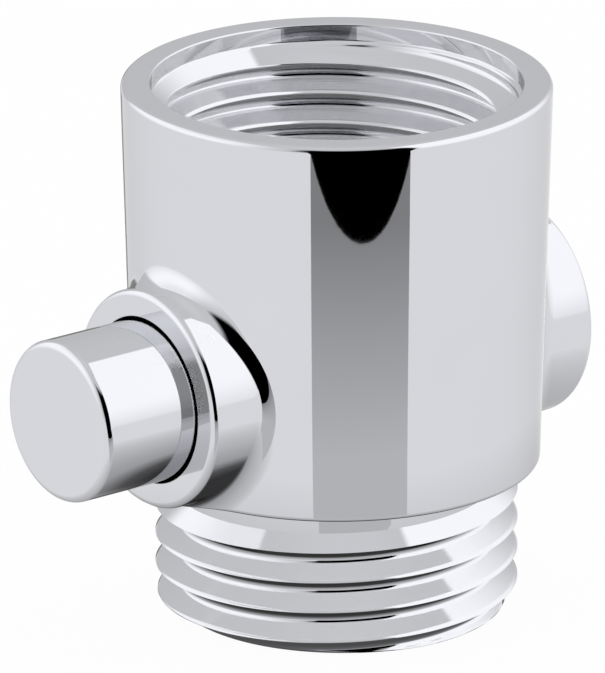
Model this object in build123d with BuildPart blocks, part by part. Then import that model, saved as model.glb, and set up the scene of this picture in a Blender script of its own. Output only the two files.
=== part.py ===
# Hand shower hose adapter with a push-button shuttle valve.
# One plated brass body carries a threaded inlet socket on top, a threaded spigot below and a
# shuttle across it. Pushing one button in sends the other one out and turns the water down.
# Millimetres. The origin is the centre of the spigot's end face, +Z runs up the flow axis to
# the inlet, and +X runs along the shuttle towards the button that is flush with its boss.

import os
from math import radians, tan

from build123d import *

os.makedirs("parts", exist_ok=True)

# Half-inch parallel pipe thread, 14 turns to the inch
thread_major_radius = 20.955 / 2
thread_depth = 1.162
thread_pitch = 25.4 / 14
thread_flank_angle = 27.5

# Spigot, up to the body's shoulder
shoulder_height = 8.85
spigot_crests = 4
spigot_first_crest = 1.12
spigot_wall = 2.0655

# Shuttle
travel = 6.35
button_radius = 4.72
button_clearance = 0.09
button_round = 0.5
stop_ledge = 0.81
stop_gap = 0.05
land_clearance = 0.05
land_length = 1.2
land_chamfer = 0.25
waist_radius = 2.0
port_radius = 3.0
port_overlap = 0.25
tail_radius = 2.5
tail_length = 5.0
tail_clearance = 0.02
tail_end_gap = 0.4

# Bosses that carry the shuttle. The fillet at their foot runs a little into their rim's round
boss_wall = 1.59
boss_fillet = 1.5
boss_round = 0.4
boss_merge = 0.066
boss_sink = 0.05

# Inlet socket
socket_wall = 1.69
socket_depth = 10.2
socket_crests = 4
chamfer_depth = 0.95
mouth_step = 0.2325
mouth_depth = 1.0
relief_clearance = 0.05

# Body, outside
floor_wall = 1.29
outlet_recess = 0.05
cone_drop = 0.65
rim_round = 0.6

# Seals
ring_section = 1.4
ring_gap = 0.03
ring_play = 0.5
ring_lip = 0.65
washer_clearance = 0.1155
washer_bore_radius = 6.0
washer_thickness = 2.0

# The thread's section
thread_minor_radius = thread_major_radius - thread_depth
flank_rise = thread_depth * tan(radians(thread_flank_angle))
crest_half_width = (thread_pitch / 2 - flank_rise) / 2
relief_radius = thread_major_radius + relief_clearance

# Radii, from the inside out
outlet_radius = thread_minor_radius - spigot_wall
mouth_radius = thread_major_radius + mouth_step
washer_radius = thread_minor_radius - washer_clearance
rim_radius = mouth_radius + socket_wall
low_radius = rim_radius - cone_drop
button_bore_radius = button_radius + button_clearance
land_bore_radius = button_bore_radius - stop_ledge
land_radius = land_bore_radius - land_clearance
boss_radius = button_bore_radius + boss_wall

# Heights, from the spigot's end face up
outlet_ceiling = shoulder_height + outlet_recess
shuttle_height = shoulder_height - boss_sink + boss_radius
socket_floor = shuttle_height + button_bore_radius + floor_wall
total_height = socket_floor + socket_depth
socket_last_crest = total_height - mouth_depth - chamfer_depth

# Along the shuttle
cone_slope = cone_drop / (total_height - shoulder_height)
boss_root = low_radius + cone_slope * (shuttle_height + boss_radius - shoulder_height)
boss_reach = boss_root + boss_fillet + boss_round - boss_merge
right_shoulder_x = port_radius + port_overlap + land_length
left_shoulder_x = -right_shoulder_x - travel
button_stop_x = right_shoulder_x - stop_gap
button_length = boss_reach - right_shoulder_x
ring_groove_width = ring_section + ring_play
ring_from_shoulder = ring_lip + ring_groove_width / 2
shuttle_plane = Plane(origin=(0, 0, shuttle_height), x_dir=(0, 1, 0), z_dir=(1, 0, 0))
shuttle_axis = Axis((0, 0, shuttle_height), (1, 0, 0))


def spigot_outline():
    """Half section of the neck and the spigot, whose crests and roots follow the thread form."""
    points = [(0, 0), (thread_minor_radius, 0)]
    for index in range(spigot_crests):
        crest = spigot_first_crest + index * thread_pitch
        points.append((thread_minor_radius, crest - crest_half_width - flank_rise))
        points.append((thread_major_radius, crest - crest_half_width))
        points.append((thread_major_radius, crest + crest_half_width))
        points.append((thread_minor_radius, crest + crest_half_width + flank_rise))
    points.append((thread_minor_radius, shoulder_height))
    points.append((0, shoulder_height))
    return points


def socket_outline():
    """Half section of the hollow of the inlet: relief, thread, chamfer and plain mouth."""
    lowest = socket_last_crest - (socket_crests - 1) * thread_pitch
    relief_top = lowest - crest_half_width - flank_rise - relief_clearance
    points = [(0, socket_floor), (relief_radius, socket_floor), (relief_radius, relief_top)]
    for index in range(socket_crests):
        crest = lowest + index * thread_pitch
        points.append((thread_major_radius, crest - crest_half_width - flank_rise))
        points.append((thread_minor_radius, crest - crest_half_width))
        if index < socket_crests - 1:
            points.append((thread_minor_radius, crest + crest_half_width))
            points.append((thread_major_radius, crest + crest_half_width + flank_rise))
    points.append((thread_minor_radius, socket_last_crest))
    points.append((mouth_radius, total_height - mouth_depth))
    points.append((mouth_radius, total_height))
    points.append((0, total_height))
    return points


with BuildPart() as valve_body:
    # The cone runs on below the shoulder, so that the boss fillets have a wall to meet
    cone_foot = shoulder_height - 2 * boss_fillet
    cone_foot_radius = low_radius - cone_slope * (shoulder_height - cone_foot)
    with BuildSketch(Plane.XZ):
        with BuildLine():
            Polyline(
                (0, cone_foot),
                (cone_foot_radius, cone_foot),
                (rim_radius, total_height),
                (0, total_height),
                close=True,
            )
        make_face()
    revolve(axis=Axis.Z)
    with BuildSketch(shuttle_plane.offset(-boss_reach)):
        Circle(boss_radius)
    extrude(amount=2 * boss_reach)
    boss_joints = edges().filter_by(lambda e: e.geom_type not in (GeomType.CIRCLE, GeomType.LINE))
    fillet(boss_joints, boss_fillet)
    boss_rims = edges().filter_by(GeomType.CIRCLE).group_by(Axis.X)
    fillet(boss_rims[0] + boss_rims[-1], boss_round)
    split(bisect_by=Plane.XY.offset(shoulder_height), keep=Keep.TOP)
    fillet(edges().filter_by(GeomType.CIRCLE).sort_by(Axis.Z)[-1], rim_round)
    # Neck and threaded spigot
    with BuildSketch(Plane.XZ):
        with BuildLine():
            Polyline(*spigot_outline(), close=True)
        make_face()
    revolve(axis=Axis.Z)
    # Inlet socket, outlet bore and the port between them
    with BuildSketch(Plane.XZ):
        with BuildLine():
            Polyline(*socket_outline(), close=True)
        make_face()
    revolve(axis=Axis.Z, mode=Mode.SUBTRACT)
    with BuildSketch(Plane.XY):
        Circle(outlet_radius)
    extrude(amount=outlet_ceiling, mode=Mode.SUBTRACT)
    with BuildSketch(Plane.XY.offset(outlet_ceiling)):
        Circle(port_radius)
    extrude(amount=socket_floor - outlet_ceiling, mode=Mode.SUBTRACT)
    # Cross bore: a close middle for the land and a wider end for each button
    with BuildSketch(shuttle_plane.offset(-boss_reach)):
        Circle(land_bore_radius)
    extrude(amount=2 * boss_reach, mode=Mode.SUBTRACT)
    for side in (-1, 1):
        with BuildSketch(shuttle_plane.offset(side * button_stop_x)):
            Circle(button_bore_radius)
        extrude(amount=side * (boss_reach - button_stop_x), mode=Mode.SUBTRACT)
valve_body.part.label = "valve_body"
export_step(valve_body.part, "parts/valve_body.step")


# The shuttle rests with its left button out
with BuildPart() as spool:
    waist_left = port_radius + port_overlap - travel
    waist_right = port_radius + port_overlap
    with BuildSketch(Plane.XZ):
        with BuildLine():
            Polyline(
                (left_shoulder_x - tail_length, shuttle_height),
                (left_shoulder_x - tail_length, shuttle_height + tail_radius),
                (left_shoulder_x, shuttle_height + tail_radius),
                (left_shoulder_x, shuttle_height + land_radius),
                (waist_left - land_chamfer, shuttle_height + land_radius),
                (waist_left, shuttle_height + land_radius - land_chamfer),
                (waist_left, shuttle_height + waist_radius),
                (waist_right, shuttle_height + waist_radius),
                (waist_right, shuttle_height + land_radius - land_chamfer),
                (waist_right + land_chamfer, shuttle_height + land_radius),
                (right_shoulder_x, shuttle_height + land_radius),
                (right_shoulder_x, shuttle_height + tail_radius),
                (right_shoulder_x + tail_length, shuttle_height + tail_radius),
                (right_shoulder_x + tail_length, shuttle_height),
                close=True,
            )
        make_face()
    revolve(axis=shuttle_axis)
spool.part.label = "spool"
export_step(spool.part, "parts/spool.step")


def make_button(shoulder_x, side):
    """A capped button: rounded face, ring groove near its shoulder and a blind hole for the spool's tail."""
    groove_radius = button_bore_radius - ring_gap - ring_section
    groove_start = shoulder_x + side * (ring_from_shoulder - ring_groove_width / 2)
    hole_depth = tail_length + tail_end_gap
    with BuildPart() as button:
        with BuildSketch(shuttle_plane.offset(shoulder_x)):
            Circle(button_radius)
        extrude(amount=side * button_length)
        ends = edges().filter_by(GeomType.CIRCLE).sort_by(Axis.X)
        fillet(ends[-1] if side > 0 else ends[0], button_round)
        with BuildSketch(shuttle_plane.offset(groove_start)):
            Circle(button_radius)
            Circle(groove_radius, mode=Mode.SUBTRACT)
        extrude(amount=side * ring_groove_width, mode=Mode.SUBTRACT)
        with BuildSketch(shuttle_plane.offset(shoulder_x)):
            Circle(tail_radius + tail_clearance)
        extrude(amount=side * hole_depth, mode=Mode.SUBTRACT)
    return button.part


def make_ring(center_x):
    """A sealing ring of round section about the shuttle's axis."""
    ring_middle = button_bore_radius - ring_gap - ring_section / 2
    with BuildPart() as ring:
        with BuildSketch(Plane.XZ):
            with Locations((center_x, shuttle_height + ring_middle)):
                Circle(ring_section / 2)
        revolve(axis=shuttle_axis)
    return ring.part


for name, shoulder_x, side in (("left", left_shoulder_x, -1), ("right", right_shoulder_x, 1)):
    button_part = make_button(shoulder_x, side)
    button_part.label = f"{name}_button"
    export_step(button_part, f"parts/{name}_button.step")
    ring_part = make_ring(shoulder_x + side * ring_from_shoulder)
    ring_part.label = f"{name}_seal_ring"
    export_step(ring_part, f"parts/{name}_seal_ring.step")


with BuildPart() as inlet_washer:
    with BuildSketch(Plane.XY.offset(socket_floor)):
        Circle(washer_radius)
        Circle(washer_bore_radius, mode=Mode.SUBTRACT)
    extrude(amount=washer_thickness)
inlet_washer.part.label = "inlet_washer"
export_step(inlet_washer.part, "parts/inlet_washer.step")
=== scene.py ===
import math

import bmesh
import bpy
import numpy as np
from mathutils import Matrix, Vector


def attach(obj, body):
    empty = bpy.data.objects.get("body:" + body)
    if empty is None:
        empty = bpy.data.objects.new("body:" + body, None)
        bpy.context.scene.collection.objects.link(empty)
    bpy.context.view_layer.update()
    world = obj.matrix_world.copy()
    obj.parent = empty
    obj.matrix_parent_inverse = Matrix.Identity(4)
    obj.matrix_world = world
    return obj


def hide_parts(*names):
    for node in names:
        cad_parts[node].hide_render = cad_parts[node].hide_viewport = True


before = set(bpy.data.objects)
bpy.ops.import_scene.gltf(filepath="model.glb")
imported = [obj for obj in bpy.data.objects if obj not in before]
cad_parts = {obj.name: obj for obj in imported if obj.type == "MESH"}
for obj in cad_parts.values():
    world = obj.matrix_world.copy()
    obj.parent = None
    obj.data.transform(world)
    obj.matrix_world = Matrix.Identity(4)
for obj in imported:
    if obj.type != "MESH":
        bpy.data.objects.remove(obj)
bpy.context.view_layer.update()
mm = 0.001
tiny = 1e-7  # millimetres between places that count as one
weldGrid = (1e4, 0.31416)  # steps in a millimetre, and a shift that keeps round figures off their borders
cornerStep = 12  # degrees from row to row on a rounded corner
print("CAD frame loaded")


# Surfaces are built in millimetres as points with their true normals, so that the plating mirrors cleanly

class Skin:
    def __init__(self):
        self.points = []
        self.normals = []
        self.faces = []
        self.count = 0

    def add(self, points, normals, faces):
        self.points.append(np.asarray(points, float).reshape(-1, 3))
        self.normals.append(np.asarray(normals, float).reshape(-1, 3))
        self.faces.append(np.asarray(faces, int).reshape(-1, 4) + self.count)
        self.count += len(self.points[-1])

    def grid(self, points, normals, closed=False):  # points as rows x columns x 3
        rows, columns = points.shape[:2]
        index = np.arange(rows * columns).reshape(rows, columns)
        if closed:
            index = np.concatenate([index, index[:, :1]], axis=1)
        corners = [index[:-1, :-1], index[:-1, 1:], index[1:, 1:], index[1:, :-1]]
        self.add(points, normals, np.stack([c.ravel() for c in corners], axis=1))

    def stitch(self, loopA, normalsA, anglesA, loopB, normalsB, anglesB):  # two closed loops, by rising angle
        faces = []
        a, b = 0, 0
        sizeA, sizeB = len(loopA), len(loopB)
        wrapA = np.append(anglesA, anglesA[0] + 2 * math.pi)
        wrapB = np.append(anglesB, anglesB[0] + 2 * math.pi)
        while a < sizeA or b < sizeB:
            stepA = b >= sizeB or (a < sizeA and wrapA[a + 1] <= wrapB[b + 1])
            here, there = a % sizeA, sizeA + b % sizeB
            if stepA:
                a += 1
                faces.append([here, a % sizeA, there, there])
            else:
                b += 1
                faces.append([here, sizeA + b % sizeB, there, there])
        self.add(np.concatenate([loopA, loopB]), np.concatenate([normalsA, normalsB]), faces)

    def joined(self):
        return np.concatenate(self.points), np.concatenate(self.normals), np.concatenate(self.faces)

    def mirroredHalf(self, other):  # the same patches once more, turned half way round the flow axis
        points, normals, faces = other.joined()
        turn = np.array([-1, -1, 1])
        self.add(points, normals, faces)
        self.add(points * turn, normals * turn, faces)


def unit(vectors):
    return vectors / np.maximum(np.linalg.norm(vectors, axis=-1, keepdims=True), 1e-12)


def between(start, end, share):  # directions turned from start to end
    cosine = np.clip(np.sum(start * end, axis=-1, keepdims=True), -1, 1)
    angle = np.arccos(cosine)
    small = angle < 1e-6
    sine = np.where(small, 1, np.sin(angle))
    first = np.where(small, 1 - share, np.sin((1 - share) * angle) / sine)
    second = np.where(small, share, np.sin(share * angle) / sine)
    return unit(first * start + second * end)


def fan(start, end, steps):
    return np.stack([between(start, end, k / steps) for k in range(steps + 1)])


def outline(corners):
    # Corners are (radius, height, round). The solid lies to the left of the way along.
    places = [np.array(c[:2], float) for c in corners]
    rows = []
    for i, here in enumerate(places):
        ways = []
        if i > 0:
            ways.append((here - places[i - 1]) / np.linalg.norm(here - places[i - 1]))
        if i < len(places) - 1:
            ways.append((places[i + 1] - here) / np.linalg.norm(places[i + 1] - here))
        sides = [np.array([w[1], -w[0]]) for w in ways]
        radius = corners[i][2] if len(corners[i]) > 2 else 0
        if len(ways) == 2 and radius > 0:
            turn = math.acos(max(-1, min(1, float(ways[0] @ ways[1]))))
            back = radius * math.tan(turn / 2)
            convex = ways[0][0] * ways[1][1] - ways[0][1] * ways[1][0] > 0
            sign = 1 if convex else -1
            centre = here - ways[0] * back - sides[0] * radius * sign
            steps = max(3, int(math.degrees(turn) / cornerStep))
            for side in fan(sides[0], sides[1], steps):
                rows.append((*(centre + side * radius * sign), *side))
        else:
            for side in sides:
                rows.append((*here, *side))
    return np.array(rows)


def stretches(rows):  # neighbouring rows that lie apart
    return [(a, b) for a, b in zip(rows, rows[1:]) if np.linalg.norm(b[:2] - a[:2]) > tiny]


def ringAt(radius, angles, height):  # points or normals round the flow axis
    level = np.full(len(angles), float(height))
    return np.stack([radius * np.cos(angles), radius * np.sin(angles), level], 1)


def turned(skin, rows, angles):  # rows of radius, height and normal, turned about the flow axis
    for pair in stretches(rows):
        points = np.stack([ringAt(row[0], angles, row[1]) for row in pair])
        normals = np.stack([ringAt(row[2], angles, row[3]) for row in pair])
        skin.grid(points, normals, closed=True)


def weld(points):  # which points come first at their place, and the place of each point
    keys = np.floor(points * weldGrid[0] + weldGrid[1]).astype(np.int64)
    first, place = np.unique(keys, axis=0, return_index=True, return_inverse=True)[1:]
    return first, place.ravel()


def makePiece(name, skin, toFrame=None):
    points, normals, faces = skin.joined()
    if toFrame is not None:
        points, normals = toFrame(points, normals)
    first, shared = weld(points)
    places, corners = points[first], shared[faces]
    diagonals = [places[corners[:, k + 2]] - places[corners[:, k]] for k in (0, 1)]
    flip = np.sum(np.cross(*diagonals) * normals[faces].sum(axis=1), axis=1) < 0
    corners[flip] = corners[flip][:, ::-1]
    faces[flip] = faces[flip][:, ::-1]
    vertices, loopNormals, starts, totals = [], [], [], []
    running = 0
    for quad, own in zip(corners, faces):
        kept = [k for k in range(4) if quad[k] != quad[k - 1]]
        if len(kept) < 3 or len(set(quad[kept])) < len(kept):
            continue
        vertices.extend(quad[kept])
        loopNormals.extend(own[kept])
        starts.append(running)
        totals.append(len(kept))
        running += len(kept)
    mesh = bpy.data.meshes.new(name)
    mesh.vertices.add(len(places))
    mesh.vertices.foreach_set("co", (places * mm).astype(np.float32).ravel())
    mesh.loops.add(len(vertices))
    mesh.loops.foreach_set("vertex_index", np.array(vertices, np.int32))
    mesh.polygons.add(len(starts))
    mesh.polygons.foreach_set("loop_start", np.array(starts, np.int32))
    mesh.polygons.foreach_set("loop_total", np.array(totals, np.int32))
    mesh.update(calc_edges=True)
    mesh.polygons.foreach_set("use_smooth", np.ones(len(starts), bool))
    mesh.normals_split_custom_set(unit(normals[np.array(loopNormals)]).astype(np.float32))
    piece = bpy.data.objects.new(name, mesh)
    bpy.context.scene.collection.objects.link(piece)
    return piece


def trimmed(skin, floorHeight, radius, steps):
    # Cuts the skin where a ball of this radius, rolling inside it on the floor plane, leaves the wall
    points, normals, faces = skin.joined()
    first, shared = weld(points)
    places, sides = points[first], normals[first]
    height = places[:, 2] - radius * sides[:, 2] - floorHeight - radius
    bm = bmesh.new()
    placeLayer = bm.verts.layers.float_vector.new("place")
    sideLayer = bm.verts.layers.float_vector.new("side")
    made = []
    for place, side, h in zip(places, sides, height):
        vert = bm.verts.new((place[0], place[1], h))
        vert[placeLayer] = place
        vert[sideLayer] = side
        made.append(vert)
    for quad in shared[faces]:
        kept = [quad[k] for k in range(4) if quad[k] != quad[k - 1]]
        if len(kept) > 2 and len(set(kept)) == len(kept):
            bm.faces.new([made[k] for k in kept])
    everything = bm.verts[:] + bm.edges[:] + bm.faces[:]
    bmesh.ops.bisect_plane(
        bm, geom=everything, dist=1e-6, plane_co=(0, 0, 0), plane_no=(0, 0, 1), clear_inner=True
    )
    bmesh.ops.triangulate(bm, faces=bm.faces[:])
    bm.verts.index_update()
    cutPlaces = np.array([v[placeLayer] for v in bm.verts])
    cutSides = unit(np.array([v[sideLayer] for v in bm.verts]))
    cutFaces = [[v.index for v in f.verts] + [f.verts[2].index] for f in bm.faces]
    # The cut's edge as one loop
    rim = [e for e in bm.edges if e.is_boundary and all(abs(v.co.z) < 1e-5 for v in e.verts)]
    ways = {}
    for edge in rim:
        a, b = (v.index for v in edge.verts)
        ways.setdefault(a, []).append(b)
        ways.setdefault(b, []).append(a)
    start = rim[0].verts[0].index
    loop, last = [start], None
    while True:
        onward = [k for k in ways[loop[-1]] if k != last]
        last = loop[-1]
        if not onward or onward[0] == start:
            break
        loop.append(onward[0])
    bm.free()
    result = Skin()
    result.add(cutPlaces, cutSides, cutFaces)
    edge, edgeSides = cutPlaces[loop], cutSides[loop]
    angles = np.unwrap(np.arctan2(edge[:, 1], edge[:, 0]))
    if angles[-1] < angles[0]:
        edge, edgeSides = edge[::-1], edgeSides[::-1]
    down = np.zeros_like(edge)
    down[:, 2] = -1
    turns = fan(edgeSides, down, steps)
    arcs = edge - radius * edgeSides + radius * turns
    arcs[0] = edge
    arcs[-1, :, 2] = floorHeight
    result.grid(arcs, turns, closed=True)
    angles = np.mod(np.arctan2(arcs[-1, :, 1], arcs[-1, :, 0]), 2 * math.pi)
    begin = int(np.argmin(angles))
    order = np.roll(np.arange(len(angles)), -begin)
    return result, arcs[-1][order], down[order], angles[order]


# The body: cone, bosses with hollow fillets, threaded socket and threaded spigot

body = {
    "totalHeight": 31.5, "rimRadius": 12.4, "lowRadius": 11.75, "shoulderHeight": 8.85,
    "rimRound": 0.36, "shoulderRound": 0.28, "footDrop": 2.85,
    "shuttleHeight": 15.2, "bossRadius": 6.4, "bossReach": 13.95, "bossFillet": 1.5, "bossRound": 0.4,
    "buttonBore": 4.88, "landBore": 4.0, "stopPlace": 4.4, "boreEdge": 0.05,
    "mouthRadius": 10.71, "mouthDepth": 1.0, "mouthEdge": 0.12, "plainMouth": 0.9,
    "reliefRadius": 10.5275, "reliefTop": 23.3, "socketFloor": 21.3,
    "outletRadius": 7.25, "outletRound": 0.15, "outletCeiling": 8.9, "portRadius": 3.0,
    "around": 256,  # steps round the flow axis
    "steps": {"below": 16, "above": 26, "wall": 16, "fillet": 9, "boss": 3, "round": 6, "bore": 12, "port": 7,
              "shoulder": 4},
    "unrolled": 12, "crowding": 1.25,  # how the wall's rows spread from a boss
}
thread = {
    "major": 20.955 / 2, "minor": 18.631 / 2, "pitch": 25.4 / 14, "flankTilt": 62.5,
    "crestRound": 0.56, "crestTilt": 33, "maleRoot": 0.30, "femaleRoot": 0.40, "blend": 0.07,
    "maleTop": 6.555, "femaleTop": 29.544,  # a crest's height half a turn from the seam
    "maleSeam": 101, "femaleSeam": 229,  # in steps from -Y
    "endChamfer": 9.6, "endRound": 0.16, "chamferSlope": 1.468, "runOutSlope": 1.921, "runOutBlend": 0.1,
    "neckRadius": 9.42, "neckHeight": 0.83, "neckSway": 0.07, "fadeFrom": 0.55,
    "steps": (4, 4, 8, 3),  # on the crest's round, upper flank, root and lower flank
    "coneSteps": 3, "endSteps": 5,
    "edgeShift": 0.003, "endShift": 0.002,  # how far off an edge a slope is taken
}
coneSlope = (body["rimRadius"] - body["lowRadius"]) / (body["totalHeight"] - body["shoulderHeight"])
coneTilt = math.atan(coneSlope)
coneTop = body["totalHeight"] - body["rimRound"] * (1 + math.sin(coneTilt))
flankTilt, crestTilt = math.radians(thread["flankTilt"]), math.radians(thread["crestTilt"])
flankSlope = math.tan(flankTilt)
around = np.linspace(-math.pi / 2, 1.5 * math.pi, body["around"], endpoint=False)
circle = np.sort(np.mod(around, 2 * math.pi))  # the same steps by rising angle
onceRound = np.linspace(-math.pi, math.pi, body["around"] + 1)  # a thread's turn, from seam to seam


def seamAngle(turn, seam):
    return turn + around[0] + 2 * math.pi * seam / body["around"] + math.pi


def conePoint(angle, height):
    radius = body["lowRadius"] + coneSlope * (height - body["shoulderHeight"])
    points = np.stack([radius * np.cos(angle), radius * np.sin(angle), height], axis=-1)
    level, down = math.cos(coneTilt), np.full_like(angle, -math.sin(coneTilt))
    return points, np.stack([level * np.cos(angle), level * np.sin(angle), down], axis=-1)


def formPlaces(rootRound):  # where the crest's round, the flanks and the root's round meet, above a crest
    crest = thread["crestRound"]
    crestEnd = crest * (math.sin(flankTilt) - math.sin(crestTilt))
    crestDrop = crest * (math.cos(crestTilt) - math.cos(flankTilt))
    middle = (flankSlope * (crestEnd + thread["pitch"]) - crestDrop) / (2 * flankSlope)
    reach = rootRound * math.sin(flankTilt)
    return crestEnd, middle - reach, middle, middle + reach


def threadForm(offset, rootRound):  # radius over the height above a sharp crest, up to the next one
    major, pitch, crest = thread["major"], thread["pitch"], thread["crestRound"]
    crestEnd, rootStart, middle, rootEnd = formPlaces(rootRound)
    above = offset + crest * math.sin(crestTilt)
    top = major - crest * math.cos(crestTilt) + np.sqrt(np.maximum(crest ** 2 - above ** 2, 0))
    bottom = major - flankSlope * (pitch - offset)
    flank = major - crest * (math.cos(crestTilt) - math.cos(flankTilt)) - flankSlope * (offset - crestEnd)
    rootCentre = major - flankSlope * (pitch - rootEnd) + rootRound * math.cos(flankTilt)
    root = rootCentre - np.sqrt(np.maximum(rootRound ** 2 - (offset - middle) ** 2, 0))
    return np.select([offset < crestEnd, offset < rootStart, offset < rootEnd], [top, flank, root], bottom)


def softMin(a, b, width):
    overlap = np.maximum(width - np.abs(a - b), 0) / width
    return np.minimum(a, b) - overlap ** 2 * width / 4


def softMax(a, b, width):
    return -softMin(-a, -b, width)


def neckSlope(turn):
    rise = thread["neckHeight"] - thread["neckSway"] * np.sin(turn)
    return (thread["major"] - thread["neckRadius"]) / rise


def fadeShare(turn):  # the topmost turn of the spigot's thread fades out behind
    share = np.clip((turn / math.pi - thread["fadeFrom"]) / (1 - thread["fadeFrom"]), 0, 1)
    return share * share * (3 - 2 * share)


def spigotRadius(turn, height):
    major, pitch, neck = thread["major"], thread["pitch"], thread["neckRadius"]
    above = height - thread["maleTop"] - pitch * turn / (2 * math.pi)
    form = threadForm(np.mod(above, pitch), thread["maleRoot"])
    form = softMin(form, thread["endChamfer"] + height, thread["blend"])
    share = fadeShare(turn)
    closed = np.maximum(neck, major - neckSlope(turn) * (above + pitch))
    form = np.where(above > -pitch, form + (closed - form) * share, form)
    crest = major + (neck - major) * share
    cone = np.maximum(neck, crest - neckSlope(turn) * above)
    radius = np.where(above > 0, cone, form)
    edge = thread["endRound"]
    low = np.clip(edge - height, 0, edge)
    return radius - (edge - np.sqrt(edge ** 2 - low ** 2))


def socketRadius(turn, height):
    relief, floor, mouth = body["reliefRadius"], body["reliefTop"], body["mouthRadius"]
    above = height - thread["femaleTop"] - thread["pitch"] * turn / (2 * math.pi)
    offset = np.mod(above, thread["pitch"])
    form = thread["major"] + thread["minor"] - threadForm(offset, thread["femaleRoot"])
    chamfer = mouth + (height - body["totalHeight"] + body["mouthDepth"]) * thread["chamferSlope"]
    runOut = relief - thread["runOutSlope"] * (height - floor)
    wall = softMax(softMax(form, chamfer, thread["blend"]), runOut, thread["blend"])
    wall = softMin(wall, np.full_like(wall, mouth), thread["blend"])
    return relief + (wall - relief) * np.clip((height - floor) / thread["runOutBlend"], 0, 1)


def heightGrid(skin, radiusOf, seam, heights, shifts, outward):
    # Rows of heights over the turns. The shifts take the slope of the first and last row just off an edge.
    turn = np.broadcast_to(onceRound, heights.shape)
    angle = seamAngle(turn, seam)
    radius = radiusOf(turn, heights)
    step = 1e-4
    taken = heights.copy()
    taken[0] += shifts[0]
    taken[-1] += shifts[1]
    alongAngle = (radiusOf(turn + step, taken) - radiusOf(turn - step, taken)) / (2 * step) / radius
    alongHeight = (radiusOf(turn, taken + step) - radiusOf(turn, taken - step)) / (2 * step)
    cosine, sine = np.cos(angle), np.sin(angle)
    points = np.stack([radius * cosine, radius * sine, heights], axis=-1)
    normals = np.stack([cosine + alongAngle * sine, sine - alongAngle * cosine, -alongHeight], axis=-1)
    skin.grid(points, unit(normals) * (1 if outward else -1))


def threadGrid(skin, radiusOf, top, seam, rootRound, low, high, outward):
    # One patch for each turn, from crest to crest. Without a high end it stops at the topmost crest.
    pitch = thread["pitch"]
    crestEnd, rootStart, _, rootEnd = formPlaces(rootRound)
    ends = (0, crestEnd, rootStart, rootEnd, pitch)
    rows = [np.linspace(a, b, n + 1)[:-1] for a, b, n in zip(ends, ends[1:], thread["steps"])]
    rows = np.append(np.sort(np.append(np.concatenate(rows), thread["neckHeight"])), pitch)
    shift = thread["edgeShift"]
    first = math.floor((low - top) / pitch) - 1
    last = math.ceil((high - top) / pitch) + 1 if high else 0
    for k in range(first, last):
        heights = top + k * pitch + rows[:, None] + pitch * onceRound / (2 * math.pi)
        heights = np.clip(heights, low, high or math.inf)
        if heights.max() - heights.min() > tiny:
            heightGrid(skin, radiusOf, seam, heights, (shift, -shift), outward)


def centreHeightPoint(x, radius, phi):
    return np.stack([np.broadcast_to(x, phi.shape), radius * np.cos(phi),
                     body["shuttleHeight"] + radius * np.sin(phi)], axis=-1)


def shuttleWays(phi):  # directions away from the shuttle's axis, and along it
    radial = np.stack([np.zeros_like(phi), np.cos(phi), np.sin(phi)], axis=-1)
    forward = np.zeros_like(radial)
    forward[:, 0] = 1
    return radial, forward


def bossPatches():
    # One half of the cone with its boss, as rings from the boss's edge out to the half's border
    centreHeight, steps = body["shuttleHeight"], body["steps"]
    coneFoot = body["shoulderHeight"] - body["footDrop"]
    half = body["around"] // 2
    across = np.linspace(-math.pi / 2, math.pi / 2, half + 1)
    low = np.linspace(coneFoot, centreHeight, steps["below"] + 1)
    high = np.linspace(centreHeight, coneTop, steps["above"] + 1)
    up = np.concatenate([low, high[1:]])
    side = np.full(len(up) - 1, math.pi / 2)
    borderAngle = np.concatenate([across[:-1], side, across[::-1][:-1], -side])
    borderHeight = np.concatenate([np.full(half, coneFoot), up[:-1], np.full(half, coneTop), up[::-1][:-1]])
    phi = np.arctan2(borderHeight - centreHeight, borderAngle * body["unrolled"])
    fillet, boss = body["bossFillet"], body["bossRadius"]
    centreY = (boss + fillet) * np.cos(phi)
    centreZ = centreHeight + (boss + fillet) * np.sin(phi)
    reach = body["lowRadius"] + coneSlope * (centreZ - body["shoulderHeight"]) + fillet / math.cos(coneTilt)
    centreX = np.sqrt(reach ** 2 - centreY ** 2)
    footAngle = np.arctan2(centreY, centreX)
    footHeight = centreZ + fillet * math.sin(coneTilt)
    skin = Skin()
    shares = np.linspace(0, 1, steps["wall"] + 1)[:, None] ** body["crowding"]
    points, normals = conePoint(footAngle + (borderAngle - footAngle) * shares,
                                footHeight + (borderHeight - footHeight) * shares)
    skin.grid(points, normals, closed=True)
    # The hollow fillet, as a ball's path
    radial, forward = shuttleWays(phi)
    turns = fan(-normals[0], -radial, steps["fillet"])
    arcs = np.stack([centreX, centreY, centreZ], axis=-1) + fillet * turns
    arcs[0] = points[0]
    straightEnd = body["bossReach"] - body["bossRound"]
    late = arcs[..., 0] > straightEnd
    arcs = np.where(late[..., None], centreHeightPoint(straightEnd, boss, phi), arcs)
    skin.grid(arcs, -turns, closed=True)
    # Boss wall and its rounded rim
    start = np.minimum(centreX, straightEnd)
    count = steps["boss"]
    wall = [centreHeightPoint(start + (straightEnd - start) * k / count, boss, phi) for k in range(count + 1)]
    skin.grid(np.stack(wall), np.stack([radial] * (count + 1)), closed=True)
    turns = fan(radial, forward, steps["round"])
    ringCentres = centreHeightPoint(straightEnd, boss - body["bossRound"], phi)
    skin.grid(ringCentres + body["bossRound"] * turns, turns, closed=True)
    return skin, phi


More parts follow.
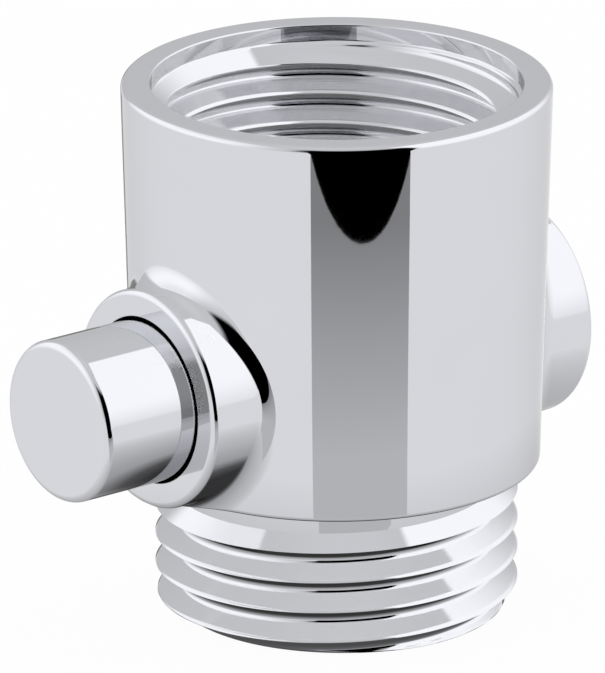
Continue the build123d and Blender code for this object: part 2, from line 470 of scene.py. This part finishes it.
def borePatches(phi):
    # Boss face, button bore and stop ledge
    skin = Skin()
    bore, reach, stop = body["buttonBore"], body["bossReach"], body["stopPlace"]
    rows = outline([(body["bossRadius"] - body["bossRound"], reach), (bore, reach, body["boreEdge"]),
                    (bore, stop), (body["landBore"], stop)])
    radial, forward = shuttleWays(phi)
    for pair in stretches(rows):
        points = np.stack([centreHeightPoint(row[1], row[0], phi) for row in pair])
        normals = np.stack([row[2] * radial + row[3] * forward for row in pair])
        skin.grid(points, normals, closed=True)
    return skin


def portPatches(skin, phi):
    # The close bore between the stops, above and below, each round a port, and the ports' walls
    land, stop, port = body["landBore"], body["stopPlace"], body["portRadius"]
    count = body["steps"]["bore"]
    along = np.linspace(stop, -stop, count + 1)
    for sign, level in ((1, body["socketFloor"]), (-1, body["outletCeiling"])):
        start = 0 if sign > 0 else math.pi
        middle = start + math.pi / 2
        arc = np.sort(np.mod(phi[np.sin(phi) * sign > 1e-9], 2 * math.pi))
        bend = np.concatenate([[start], arc, [start + math.pi]])
        end = np.full(len(bend) - 1, stop)
        lastBend, firstBend = np.full(count, bend[-1]), np.full(count, bend[0])
        borderX = np.concatenate([end, along[:-1], -end, along[::-1][:-1]])
        borderBend = np.concatenate([bend[:-1], lastBend, bend[::-1][:-1], firstBend])
        psi = np.arctan2((middle - borderBend) * land * sign, borderX)
        holeX, holeY = port * np.cos(psi), port * np.sin(psi)
        holeBend = np.arccos(holeY / land)
        if sign < 0:
            holeBend = 2 * math.pi - holeBend
        shares = np.linspace(0, 1, body["steps"]["port"] + 1)[:, None]
        x = holeX + (borderX - holeX) * shares
        turn = holeBend + (borderBend - holeBend) * shares
        points = np.stack([x, land * np.cos(turn), body["shuttleHeight"] + land * np.sin(turn)], axis=-1)
        normals = np.stack([np.zeros_like(x), -np.cos(turn), -np.sin(turn)], axis=-1)
        skin.grid(points, normals, closed=True)
        ring = points[0]
        angle = np.mod(np.arctan2(ring[:, 1], ring[:, 0]), 2 * math.pi)
        order = np.argsort(angle)
        skin.stitch(ringAt(port, circle, level), ringAt(-1, circle, 0), circle,
                    ring[order], ringAt(-1, angle, 0)[order], angle[order])


def makeBody():
    outer, phi = bossPatches()
    both = Skin()
    both.mirroredHalf(outer)
    skin, underEdge, underSides, underAngles = trimmed(
        both, body["shoulderHeight"], body["shoulderRound"], body["steps"]["shoulder"])
    skin.mirroredHalf(borePatches(phi))
    portPatches(skin, phi)
    # Underside, from the shoulder's edge in to the neck
    neck = thread["neckRadius"]
    downward = ringAt(0, circle, -1)
    neckEdge = ringAt(neck, circle, body["shoulderHeight"])
    skin.stitch(underEdge, underSides, underAngles, neckEdge, downward, circle)
    # Spigot: thread up to its topmost crest, cone and neck above it, rounded end below
    seam, edge, shift = thread["maleSeam"], thread["endRound"], thread["edgeShift"]
    threadGrid(skin, spigotRadius, thread["maleTop"], seam, thread["maleRoot"], edge, None, True)
    crest = thread["maleTop"] + thread["pitch"] * onceRound / (2 * math.pi)
    reach = (thread["major"] - neck) * (1 - fadeShare(onceRound)) / neckSlope(onceRound)
    steps = thread["coneSteps"]
    cone = np.stack([crest + reach * k / steps for k in range(steps + 1)])
    heightGrid(skin, spigotRadius, seam, cone, (shift, -shift), True)
    top = np.full_like(onceRound, body["shoulderHeight"])
    heightGrid(skin, spigotRadius, seam, np.stack([crest + reach, top]), (shift, 0), True)
    low = edge * (1 - np.cos(np.linspace(0, math.pi / 2, thread["endSteps"] + 1)))
    heights = np.repeat(low[:, None], len(onceRound), axis=1)
    heightGrid(skin, spigotRadius, seam, heights, (thread["endShift"], 0), True)
    # End face and outlet bore
    endRadius = spigotRadius(onceRound[:-1], np.zeros(body["around"]))
    endAngles = np.mod(seamAngle(onceRound[:-1], seam), 2 * math.pi)
    order = np.argsort(endAngles)
    endRadius, endAngles = endRadius[order], endAngles[order]
    outlet, ceiling, port = body["outletRadius"], body["outletCeiling"], body["portRadius"]
    boreEdge = outlet + body["outletRound"]
    skin.stitch(ringAt(endRadius, endAngles, 0), downward, endAngles,
                ringAt(boreEdge, circle, 0), downward, circle)
    rows = outline([(port, ceiling), (outlet, ceiling), (outlet, 0, body["outletRound"]), (boreEdge, 0)])
    turned(skin, rows[:-1], around)
    # Rim, mouth, threaded socket, relief and floor
    mouth, relief, reliefTop = body["mouthRadius"], body["reliefRadius"], body["reliefTop"]
    floor = body["socketFloor"]
    coneTopRadius = body["lowRadius"] + coneSlope * (coneTop - body["shoulderHeight"])
    mouthLow = body["totalHeight"] - body["plainMouth"]
    rows = outline([(coneTopRadius, coneTop), (body["rimRadius"], body["totalHeight"], body["rimRound"]),
                    (mouth, body["totalHeight"], body["mouthEdge"]), (mouth, mouthLow)])
    turned(skin, rows, around)
    threadGrid(skin, socketRadius, thread["femaleTop"], thread["femaleSeam"], thread["femaleRoot"],
               reliefTop, mouthLow, False)
    rows = outline([(relief, reliefTop), (relief, floor), (port, floor)])
    turned(skin, rows, around)
    return makePiece("valve_body_plated", skin)


valveBody = makeBody()
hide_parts("valve_body")
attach(valveBody, "housing")
print("Body made:", len(valveBody.data.polygons), "faces")


# Buttons, turned about the shuttle's axis

button = {
    "radius": 4.72, "length": 9.5, "rimRound": 0.5, "shoulderPlace": 4.45, "travel": 6.35, "around": 192,
    "grooveBottom": 3.38, "grooveStart": 0.65, "grooveWidth": 1.9, "edgeRound": 0.12,
    "holeRadius": 2.52, "holeDepth": 5.4,
}


def makeButton(name, shoulderPlace, side):
    radius, length, hole, depth = (button[key] for key in ("radius", "length", "holeRadius", "holeDepth"))
    bottom, start = button["grooveBottom"], button["grooveStart"]
    end = start + button["grooveWidth"]
    rows = outline([
        (hole, depth), (hole, 0), (radius, 0, button["edgeRound"]), (radius, start), (bottom, start),
        (bottom, end), (radius, end), (radius, length, button["rimRound"]), (0.0, length),
    ])
    angles = np.linspace(0, 2 * math.pi, button["around"], endpoint=False)
    skin = Skin()
    turned(skin, rows, angles)
    turned(skin, outline([(0.0, depth), (hole, depth)]), angles)

    def toFrame(points, normals):  # the turning axis becomes the shuttle's axis
        along = shoulderPlace + side * points[:, 2]
        places = np.stack([along, points[:, 0], body["shuttleHeight"] + points[:, 1]], 1)
        return places, np.stack([side * normals[:, 2], normals[:, 0], normals[:, 1]], 1)

    return makePiece(name, skin, toFrame)


shoulders = {"left": (-button["shoulderPlace"] - button["travel"], -1), "right": (button["shoulderPlace"], 1)}
buttons = {}
for name, (shoulderPlace, side) in shoulders.items():
    buttons[name] = makeButton(name + "_button_plated", shoulderPlace, side)
    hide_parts(name + "_button")
    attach(buttons[name], "shuttle")
print("Buttons made")


# Shader writing: a Socket can be used in sums, and makeNode makes every other node

class Socket:
    def __init__(self, tree, socket):
        self.tree = tree
        self.socket = socket

    def math(self, operation, *values):
        return makeNode(self.tree, "ShaderNodeMath", {"operation": operation}, dict(enumerate(values)))

    def __add__(self, other):
        return self.math("ADD", self, other)

    def __radd__(self, other):
        return self.math("ADD", other, self)

    def __sub__(self, other):
        return self.math("SUBTRACT", self, other)

    def __rsub__(self, other):
        return self.math("SUBTRACT", other, self)

    def __mul__(self, other):
        return self.math("MULTIPLY", self, other)

    def __rmul__(self, other):
        return self.math("MULTIPLY", other, self)

    def __truediv__(self, other):
        return self.math("DIVIDE", self, other)


def makeNode(tree, kind, settings=None, sockets=None, output=0):
    node = tree.nodes.new(kind)
    for key, value in (settings or {}).items():
        if key == "stops":  # a ramp's places and greys
            while len(node.color_ramp.elements) < len(value):
                node.color_ramp.elements.new(1.0)
            for element, (place, shade) in zip(node.color_ramp.elements, value):
                element.position = place
                element.color = (shade, shade, shade, 1)
        else:
            setattr(node, key, value)
    for key, value in (sockets or {}).items():
        socket = node.inputs[key]
        if isinstance(value, Socket):
            tree.links.new(value.socket, socket)
        else:
            socket.default_value = value
    return Socket(tree, node.outputs[output]) if node.outputs else None


def makeMaterial(name):
    material = bpy.data.materials.new(name)
    material.use_nodes = True
    material.node_tree.nodes.clear()
    return material, material.node_tree


def setSurface(tree, shader, kind="ShaderNodeOutputMaterial"):
    makeNode(tree, kind, {}, {"Surface": shader})


def xyz(tree, place):
    return [makeNode(tree, "ShaderNodeSeparateXYZ", {}, {0: place}, output=k) for k in range(3)]


def rays(tree, *kinds):  # what sort of ray is being shaded
    return [makeNode(tree, "ShaderNodeLightPath", output=kind) for kind in kinds]


def noise(tree, place, scale, detail):
    return makeNode(tree, "ShaderNodeTexNoise", {}, {"Vector": place, "Scale": scale, "Detail": detail})


def mixed(tree, share, first, second):  # colours, as three numbers or a socket
    shades = [c if isinstance(c, Socket) else (*c, 1) for c in (first, second)]
    sockets = {0: share, 6: shades[0], 7: shades[1]}
    return makeNode(tree, "ShaderNodeMix", {"data_type": "RGBA"}, sockets, output=2)


def mixedShader(tree, share, first, second):
    return makeNode(tree, "ShaderNodeMixShader", {}, {0: share, 1: first, 2: second})


def bumped(tree, height, strength, distance):
    sockets = {"Height": height, "Strength": strength, "Distance": distance}
    return makeNode(tree, "ShaderNodeBump", {}, sockets)


def whiteLight(tree, strength, kind="ShaderNodeEmission"):
    return makeNode(tree, kind, {}, {"Color": (1, 1, 1, 1), "Strength": strength})


# Finishes. A pattern is given as its scale and detail, a bump as its strength and depth.

chrome = {
    "shade": (0.672, 0.678, 0.712), "dim": 0.975, "edgeTint": 0.8, "roughness": 0.022,
    "cloud": (220.0, 3.0), "cloudAmount": 0.012, "ripple": (2400.0, 2.0), "rippleBump": (0.01, 0.00001),
    # The bore colour on the next line is a painted shadow, near black inside the shuttle's bore
    "dullRoughness": 0.16, "boreShadowShade": (0.05, 0.046, 0.042), "boreMargin": (0.02, 0.06), "faceMargin": 0.03,
    # Shares of mirrored rays that pass the plating, and where they change, in millimetres
    "veil": {"outside": 1.0, "socket": 0.5, "bossFace": 0.25, "buttonFoot": 0.3},
    "socketReach": 11.0, "socketFrom": 20.5, "bossFaceFrom": 13.85, "buttonFootTo": 16.3,
}


def makeChrome(name, veilOf, dullOrShadowOf, dullOrShadowShade):
    # The veil is the share of a mirrored ray that passes the plating, which keeps the hollows light
    material, tree = makeMaterial(name)
    place = makeNode(tree, "ShaderNodeTexCoord", output=3)
    cloud = noise(tree, place, *chrome["cloud"])
    ripple = noise(tree, place, *chrome["ripple"])
    dullOrShadow = dullOrShadowOf(tree, place)  # nought on bright plating, one on the satin faces and in the bore's painted shadow
    roughness = chrome["roughness"] + (cloud - 0.5) * chrome["cloudAmount"] + dullOrShadow * chrome["dullRoughness"]
    tint = mixed(tree, cloud, chrome["shade"], [chrome["dim"] * c for c in chrome["shade"]])
    edge = chrome["edgeTint"]
    shader = makeNode(tree, "ShaderNodeBsdfPrincipled", {}, {
        "Base Color": mixed(tree, dullOrShadow, tint, dullOrShadowShade), "Metallic": 1.0, "Roughness": roughness,
        "Normal": bumped(tree, ripple, *chrome["rippleBump"]), "Specular Tint": (edge, edge, edge, 1)})
    isGlossy, passed = rays(tree, "Is Glossy Ray", "Transparent Depth")
    clear = makeNode(tree, "ShaderNodeBsdfTransparent")
    # A ray that has passed one plating passes them all
    mirrored = mixedShader(tree, passed + veilOf(tree), shader, clear)
    setSurface(tree, mixedShader(tree, isGlossy, shader, mirrored))
    return material


def boreShadowMask(tree, place):  # painted shadow: the shuttle's bore is darkened to near black and dulled, standing in for the shade inside it
    x, y, z = xyz(tree, place)
    sideways, lengthways = chrome["boreMargin"]
    rise = z - body["shuttleHeight"] * mm
    away = y * y + rise * rise
    close = away.math("LESS_THAN", away, ((body["buttonBore"] + sideways) * mm) ** 2)
    return close * x.math("LESS_THAN", x.math("ABSOLUTE", x), (body["bossReach"] - lengthways) * mm)


def bodyVeil(tree):
    veil = chrome["veil"]
    where = makeNode(tree, "ShaderNodeNewGeometry")
    x, y, z = xyz(tree, where)
    away = x * x + y * y
    socket = (z.math("GREATER_THAN", z, chrome["socketFrom"] * mm)
              * away.math("LESS_THAN", away, (chrome["socketReach"] * mm) ** 2))
    face = x.math("GREATER_THAN", x.math("ABSOLUTE", x), chrome["bossFaceFrom"] * mm)
    share = (veil["outside"] + (veil["socket"] - veil["outside"]) * socket
             + (veil["bossFace"] - veil["outside"]) * face)
    return share * (1 - boreShadowMask(tree, where))


def buttonVeil(tree):
    x = xyz(tree, makeNode(tree, "ShaderNodeNewGeometry"))[0]
    reach = x.math("ABSOLUTE", x)
    outside = x.math("GREATER_THAN", reach, body["bossReach"] * mm)
    beyondFoot = x.math("GREATER_THAN", reach, chrome["buttonFootTo"] * mm)
    return outside * (chrome["veil"]["buttonFoot"] + beyondFoot)


def onFace(tree, place):  # the buttons' end faces are satin
    x = xyz(tree, place)[0]
    face = (button["shoulderPlace"] + button["length"] - chrome["faceMargin"]) * mm
    return x.math("GREATER_THAN", x, face) + x.math("LESS_THAN", x, -face - button["travel"] * mm)


bodyChrome = makeChrome("bright chrome plating", bodyVeil, boreShadowMask, chrome["boreShadowShade"])
buttonChrome = makeChrome("button chrome plating", buttonVeil, onFace, chrome["shade"])
valveBody.data.materials.append(bodyChrome)
for piece in buttons.values():
    piece.data.materials.append(buttonChrome)

brass = {
    "shade": (0.74, 0.55, 0.26), "stainShade": (0.60, 0.42, 0.19), "stain": (260.0, 4.0),
    "lineScale": 1500.0, "lineDistortion": 1.5, "lineDetail": 2.0, "lineBump": (0.2, 0.00002),
    "roughness": 0.24, "stainRoughness": 0.16,
}


def makeBrass():
    material, tree = makeMaterial("turned brass")
    place = makeNode(tree, "ShaderNodeTexCoord", output=3)
    lines = makeNode(tree, "ShaderNodeTexWave", {"bands_direction": "X"}, {
        "Vector": place, "Scale": brass["lineScale"], "Distortion": brass["lineDistortion"],
        "Detail": brass["lineDetail"]})
    stain = noise(tree, place, *brass["stain"])
    setSurface(tree, makeNode(tree, "ShaderNodeBsdfPrincipled", {}, {
        "Base Color": mixed(tree, stain, brass["shade"], brass["stainShade"]), "Metallic": 1.0,
        "Roughness": brass["roughness"] + stain * brass["stainRoughness"],
        "Normal": bumped(tree, lines, *brass["lineBump"])}))
    return material


rubber = {
    "shade": (0.018, 0.018, 0.019), "bloomShade": (0.034, 0.034, 0.036), "bloom": (180.0, 2.0),
    "grain": (3000.0, 3.0), "grainBump": (0.3, 0.00003), "roughness": 0.5, "bloomRoughness": 0.2,
}


def makeRubber():
    material, tree = makeMaterial("black moulded rubber")
    place = makeNode(tree, "ShaderNodeTexCoord", output=3)
    grain = noise(tree, place, *rubber["grain"])
    bloom = noise(tree, place, *rubber["bloom"])
    setSurface(tree, makeNode(tree, "ShaderNodeBsdfPrincipled", {}, {
        "Base Color": mixed(tree, bloom, rubber["shade"], rubber["bloomShade"]),
        "Roughness": rubber["roughness"] + bloom * rubber["bloomRoughness"],
        "Normal": bumped(tree, grain, *rubber["grainBump"])}))
    return material


brassFinish = makeBrass()
rubberFinish = makeRubber()
finishes = {"spool": brassFinish, "left_seal_ring": rubberFinish, "right_seal_ring": rubberFinish,
            "inlet_washer": rubberFinish}
for name, finish in finishes.items():
    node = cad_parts[name]
    if not node.material_slots:
        node.data.materials.append(finish)
    for slot in node.material_slots:
        slot.material = finish
    node.visible_glossy = False
print("Finishes made")


# Studio

studio = {
    "cameraPlace": (-450.5, -566.2, 265.2), "cameraWay": (0.5867, 0.7415, -0.3256), "lens": 710.9,
    "sensor": 36, "clip": (0.02, 20), "plainLight": 0.9,
    # Level directions, as seen from the object
    "toCamera": (-0.6205, -0.7842, 0.0), "toRight": (0.7842, -0.6205, 0.0),
}

camera = bpy.data.cameras.new("photo camera")
camera.lens = studio["lens"]
camera.sensor_width = studio["sensor"]
camera.clip_start, camera.clip_end = studio["clip"]
cameraObject = bpy.data.objects.new("photo camera", camera)
bpy.context.scene.collection.objects.link(cameraObject)
cameraObject.location = Vector(studio["cameraPlace"]) * mm
cameraObject.rotation_mode = "QUATERNION"
cameraObject.rotation_quaternion = Vector(studio["cameraWay"]).to_track_quat("-Z", "Y")
bpy.context.scene.camera = cameraObject

world = bpy.data.worlds.new("white surround")
bpy.context.scene.world = world
world.use_nodes = True
world.node_tree.nodes.clear()
tree = world.node_tree
isCamera, isGlossy, isTransmission = rays(tree, "Is Camera Ray", "Is Glossy Ray", "Is Transmission Ray")
plainLight = whiteLight(tree, studio["plainLight"], "ShaderNodeBackground")
whiteBack = whiteLight(tree, 1.0, "ShaderNodeBackground")
whiteShare = isCamera + isGlossy + isTransmission
setSurface(tree, mixedShader(tree, whiteShare, plainLight, whiteBack), "ShaderNodeOutputWorld")


def stagePoint(ahead, aside, height):
    level = [ahead * studio["toCamera"][k] + aside * studio["toRight"][k] for k in range(2)]
    return Vector(level + [height]) * mm


def ramp(tree, value, low, high):
    settings = {"interpolation_type": "SMOOTHSTEP"}
    return makeNode(tree, "ShaderNodeMapRange", settings, {0: value, 1: low, 2: high})


def makeStage(name, points, faces, seenByCamera, tree, material, shader):
    mesh = bpy.data.meshes.new(name)
    mesh.from_pydata(points, [], faces)
    mesh.materials.append(material)
    material.cycles.emission_sampling = "NONE"
    setSurface(tree, shader)
    stage = bpy.data.objects.new(name, mesh)
    bpy.context.scene.collection.objects.link(stage)
    stage.visible_camera = seenByCamera
    return stage


def stagePlace(tree):  # ahead, aside and height of the point being shaded, in metres
    where = makeNode(tree, "ShaderNodeNewGeometry")
    ahead, aside = (makeNode(tree, "ShaderNodeVectorMath", {"operation": "DOT_PRODUCT"},
                             {0: where, 1: studio[way]}, output=1) for way in ("toCamera", "toRight"))
    return ahead, aside, xyz(tree, where)[2]


def glowing(tree, glow, peak):  # light that varies over a surface, up to its peak
    return mixedShader(tree, glow / peak, whiteLight(tree, 0.0), whiteLight(tree, peak))


# Angles are in degrees, to the right of the camera as seen from the object and above the table
dome = {
    "radius": 1.5, "segments": 96, "rings": 48, "peak": 1.5,
    "base": 0.79, "zenith": 0.06, "zenithLift": (60, 85), "softbox": 0.38, "boxLift": (-15, 22),
    "leftBox": (-22, -72, -136, -146), "leftMiddle": -84.2, "leftTopSlope": 1.952, "leftFade": (30, 55, 0.34),
    "rightBox": (41.5, 46, 138, 166), "rightMiddle": 80.8, "rightTopSlope": 2.693,
    "boxTopEdge": (1.0, -1.0),
    "gap": (-14.5, 41.0), "gapTop": (54, 40), "gapEdge": 1, "gapFlare": 13, "flareLift": (4, 14),
}


def makeDome():
    material, tree = makeMaterial("studio dome")
    ahead, aside, height = stagePlace(tree)
    toDegrees = 180 / math.pi
    turn = aside.math("ARCTAN2", aside, ahead) * toDegrees
    lift = height.math("ARCSINE", height / dome["radius"]) * toDegrees

    def softbox(sides, middle, slope):  # between its sides and below its straight top edge
        slant = turn.math("COSINE", (turn - middle) / toDegrees) * slope
        top = ramp(tree, lift - turn.math("ARCTANGENT", slant) * toDegrees, *dome["boxTopEdge"])
        return ramp(tree, turn, sides[0], sides[1]) * ramp(tree, turn, sides[3], sides[2]) * top

    fadeLow, fadeHigh, faded = dome["leftFade"]
    left = softbox(dome["leftBox"], dome["leftMiddle"], dome["leftTopSlope"])
    left = left * (1 - faded * ramp(tree, lift, fadeLow, fadeHigh))
    right = softbox(dome["rightBox"], dome["rightMiddle"], dome["rightTopSlope"])
    base = dome["base"] + dome["zenith"] * ramp(tree, lift, *dome["zenithLift"])
    box = 1 + dome["softbox"] * ramp(tree, lift, *dome["boxLift"])
    gapLeft, gapRight = dome["gap"]
    flare = dome["gapEdge"] + dome["gapFlare"] * ramp(tree, lift, *dome["flareLift"])
    gap = (ramp(tree, turn - gapLeft, 0 - flare, 0.0) * ramp(tree, turn, gapRight + dome["gapEdge"], gapRight)
           * ramp(tree, lift, *dome["gapTop"]))
    glow = (base + (box - base) * (left + right)) * (1 - gap)
    segments, rings = dome["segments"], dome["rings"]
    bm = bmesh.new()
    bmesh.ops.create_uvsphere(bm, u_segments=segments, v_segments=rings, radius=dome["radius"])
    points = [tuple(v.co) for v in bm.verts]
    faces = [[v.index for v in f.verts] for f in bm.faces]
    bm.free()
    makeStage("studio_dome", points, faces, False, tree, material, glowing(tree, glow, dome["peak"]))


# Lengths are in metres
table = {
    "shade": (0.82, 0.82, 0.82), "grainShade": (0.80, 0.80, 0.80), "grainScale": 900.0, "grainDetail": 2.0,
    "roughness": 0.9, "radius": 1.45, "height": -0.00002, "sides": 96, "cameraWhite": 0.97,
    # In mirrors the table carries painted shadow: darker towards the foot and in a strip right behind the
    # object, brighter further out
    "foot": 0.06,  # the shades lie at shares of this distance
    "footShades": ((0.12, 0.05), (0.155, 0.12), (0.2, 0.48), (0.3, 0.64), (0.45, 0.8), (0.65, 1.0)),
    "farGlow": 0.13, "far": (0.15, 1.0),
    "rearHalf": 0.012, "rearShade": 0.7, "rearStart": (0.0, 0.004),
    "rearLeft": (0.3, 0.18), "rearRight": (0.1, 0.0),
}


def makeTable():
    material, tree = makeMaterial("pale table")
    ahead, aside = stagePlace(tree)[:2]
    distance = ahead.math("SQRT", ahead * ahead + aside * aside)
    isCamera, isGlossy, isTransmission = rays(tree, "Is Camera Ray", "Is Glossy Ray", "Is Transmission Ray")
    grain = makeNode(tree, "ShaderNodeTexNoise", {},
                     {"Scale": table["grainScale"], "Detail": table["grainDetail"]})
    matt = makeNode(tree, "ShaderNodeBsdfPrincipled", {}, {
        "Base Color": mixed(tree, grain, table["shade"], table["grainShade"]),
        "Roughness": table["roughness"]})
    # Painted shadow: in mirrors the table's glow darkens towards the foot, standing in for the object's own
    # shadow on it, and brightens further out
    foot = makeNode(tree, "ShaderNodeValToRGB", {"stops": table["footShades"]}, {0: distance / table["foot"]})
    glow = foot + table["farGlow"] * ramp(tree, distance, *table["far"])
    # Painted shadow: in mirrors the table is dark right behind the object, which draws a thin line along the
    # object's outline
    behind = 0 - ahead
    leftReach = (0 - aside - table["rearHalf"]) / behind
    rightReach = (aside - table["rearHalf"]) / behind
    rearShadow = (ramp(tree, behind, *table["rearStart"]) * ramp(tree, leftReach, *table["rearLeft"])
            * ramp(tree, rightReach, *table["rearRight"]))
    mirrored = glowing(tree, glow * (1 - table["rearShade"] * rearShadow), 1.0 + table["farGlow"])
    seen = mixedShader(tree, table["cameraWhite"], matt, whiteLight(tree, 1.0))
    plain = mixedShader(tree, isCamera, matt, seen)
    top = mixedShader(tree, isGlossy + isTransmission, plain, mirrored)
    below = makeNode(tree, "ShaderNodeNewGeometry", output=6)  # seen from below, the table isn't there
    shader = mixedShader(tree, below, top, makeNode(tree, "ShaderNodeBsdfTransparent"))
    turns = [2 * math.pi * k / table["sides"] for k in range(table["sides"])]
    points = [(table["radius"] * math.cos(a), table["radius"] * math.sin(a), table["height"]) for a in turns]
    makeStage("pale_table", points, [list(range(len(points)))], True, tree, material, shader)


# A grey card lies before the object, and a black one beyond it fills the gap between the softboxes. Both are
# seen only in mirrors, as a painted reflection: the grey card glows, dimmer further off
# Both are wedges from one apex, and meet along a curve of three points
card = {
    "apex": (6.9, 0.55), "near": 25.0, "leftSlope": -0.268, "rightSlope": 0.857, "height": 0.3,
    "edge": ((88.3, -20.7), (67.1, 18.0), (71.7, 54.3)), "edgeSteps": 24, "far": 1440.0, "farSteps": 13,
    "nearShade": 0.655, "farShade": 0.30, "fade": (0.0415, 0.079),
}


def cardSide(ahead, slope):
    return ahead, card["apex"][1] + slope * (ahead - card["apex"][0])


def makeCard(name, ring, tree, material, shader):
    points = [stagePoint(ahead, aside, card["height"]) for ahead, aside in ring]
    piece = makeStage(name, points, [list(range(len(points)))], False, tree, material, shader)
    piece.visible_diffuse = False
    piece.visible_shadow = False
    piece.visible_transmission = False


def makeCards():
    edge = []
    for k in range(card["edgeSteps"] + 1):
        t = k / card["edgeSteps"]
        weights = ((1 - t) ** 2, 2 * t * (1 - t), t ** 2)
        edge.append([sum(w * p[i] for w, p in zip(weights, card["edge"])) for i in range(2)])
    near = [cardSide(card["near"], card["rightSlope"]), cardSide(card["near"], card["leftSlope"])]
    material, tree = makeMaterial("grey card")
    ahead, aside = stagePlace(tree)[:2]
    distance = ahead.math("SQRT", ahead * ahead + aside * aside)
    fade = makeNode(tree, "ShaderNodeMapRange", {}, {
        0: distance, 1: card["fade"][0], 2: card["fade"][1], 3: card["nearShade"], 4: card["farShade"]})
    makeCard("grey_card", near + edge, tree, material, glowing(tree, fade, 1.0))
    turns = np.linspace(math.atan(card["rightSlope"]), math.atan(card["leftSlope"]), card["farSteps"])
    far = [(card["far"] * math.cos(t), card["far"] * math.sin(t)) for t in turns]
    material, tree = makeMaterial("black card")
    makeCard("black_card", edge + far, tree, material, whiteLight(tree, 0.0))


makeDome()
makeTable()
makeCards()
print("Studio made")

bpy.context.scene.view_settings.view_transform = "Standard"
bpy.context.scene.cycles.transparent_max_bounces = 64  # for the rays that pass the plating
